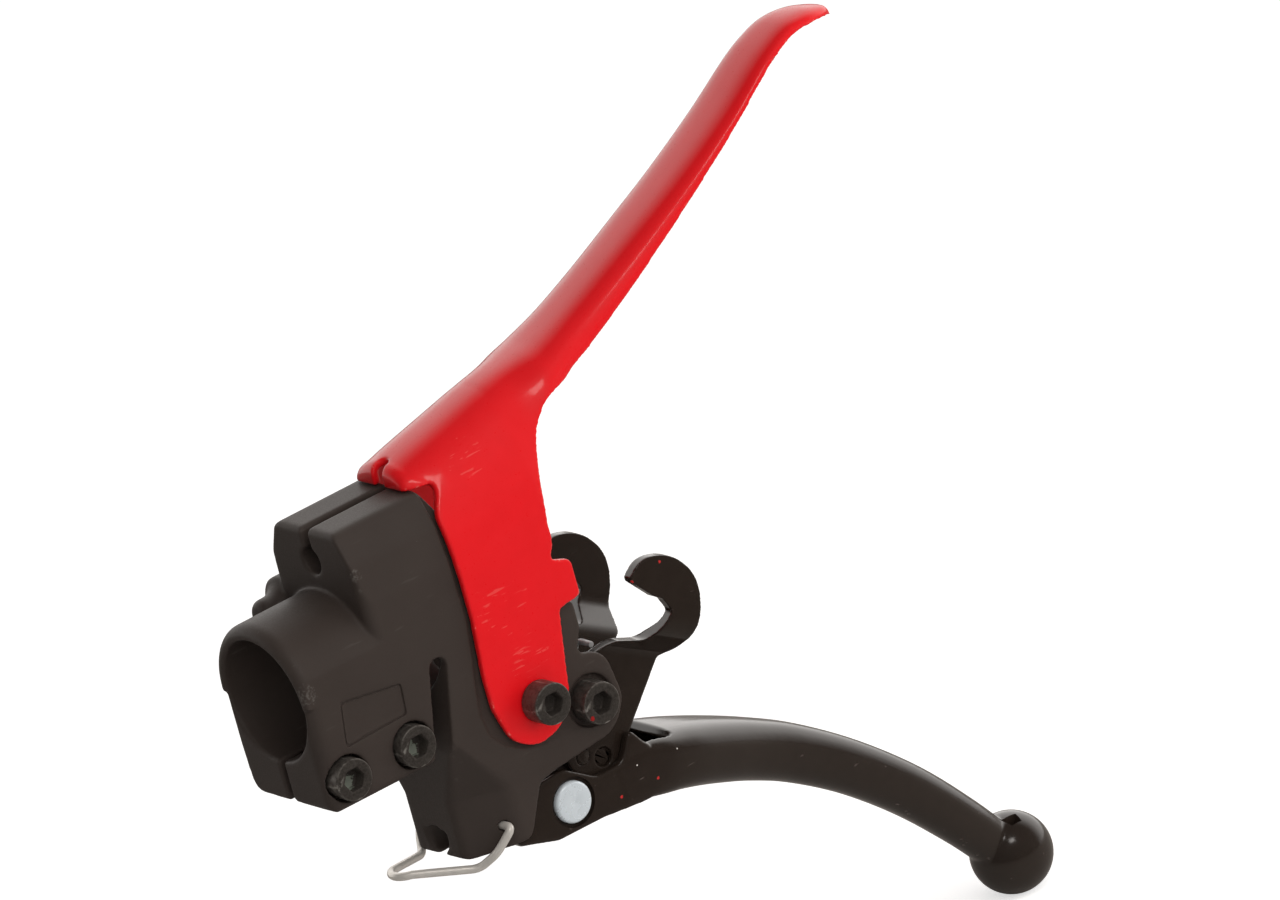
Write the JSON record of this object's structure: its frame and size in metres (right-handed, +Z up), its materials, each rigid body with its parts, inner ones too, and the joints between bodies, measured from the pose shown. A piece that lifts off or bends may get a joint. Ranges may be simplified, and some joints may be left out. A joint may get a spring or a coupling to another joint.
{
  "type": "handlebar control lever assembly",
  "caption": "Handlebar control of a walk-behind garden machine: clamp housing, safety lever above, clutch lever with a ball end below, and a pair of hook plates between them.",
  "frame": {"origin": "centre of the handlebar clamp's bore, in the middle of its 30 mm length, on the tube's axis", "axes": "+X along the tube towards the grip, +Z up, and +Y towards the far side, so that the side with the screw heads looks along -Y"},
  "size_m": [0.1946, 0.061, 0.2241],
  "materials": {
    "housing_plastic": "fine matt moulded surface, charcoal",
    "red_paint": "glossy red paint on pressed sheet, chipped at the edges",
    "black_paint": "glossy black paint",
    "black_screw": "black oxide",
    "zinc": "bright zinc plating",
    "spring_wire": "drawn spring wire",
    "bail_wire": "satin stainless wire"
  },
  "bodies": {
    "housing": {"housing": "housing_plastic", "clamp_screw_front": "black_screw", "clamp_screw_rear": "black_screw", "clamp_nut_front": "zinc", "clamp_nut_rear": "zinc", "safety_lever_screw": "black_screw", "safety_lever_bush": "zinc", "safety_lever_washer": "zinc", "safety_lever_nut": "zinc", "safety_lever_spring": "spring_wire", "hook_screw": "black_screw", "hook_bush": "zinc", "hook_washer": "zinc", "hook_nut": "zinc", "hook_spring": "spring_wire", "lever_bush": "zinc", "lever_washers": "zinc"},
    "safety_lever": {"safety_lever": "red_paint"},
    "hook_bracket": {"hook_near": "black_paint", "hook_far": "black_paint", "hook_stop_pin": "black_paint", "hook_rivet": "black_paint"},
    "clutch_lever": {"clutch_lever": "black_paint", "lever_pin": "zinc", "lever_pin_clip": "spring_wire"},
    "wire_bail": {"wire_bail": "bail_wire"}
  },
  "joints": [
    {"name": "safety_lever_pivot", "type": "hinge", "parent": "housing", "child": "safety_lever", "pos_m": [0.0443, 0, -0.0231], "axis": [0, 1, 0], "range_deg": [0, 27], "stiffness_Nm_per_rad": 0.8, "springref_deg": -34.38, "deforming": ["safety_lever_spring"]},
    {"name": "hook_pivot", "type": "hinge", "parent": "housing", "child": "hook_bracket", "pos_m": [0.0593, 0, -0.0302], "axis": [0, -1, 0], "range_deg": [0, 6], "stiffness_Nm_per_rad": 0.15, "springref_deg": -20.05, "deforming": ["hook_spring"]},
    {"name": "clutch_lever_pivot", "type": "hinge", "parent": "housing", "child": "clutch_lever", "pos_m": [0.049, 0, -0.0519], "axis": [0, -1, 0], "range_deg": [0, 22]},
    {"name": "wire_bail_pivot", "type": "hinge", "parent": "housing", "child": "wire_bail", "pos_m": [0.0289, 0, -0.0486], "axis": [0, 1, 0], "range_deg": [0, 16]}
  ]
}
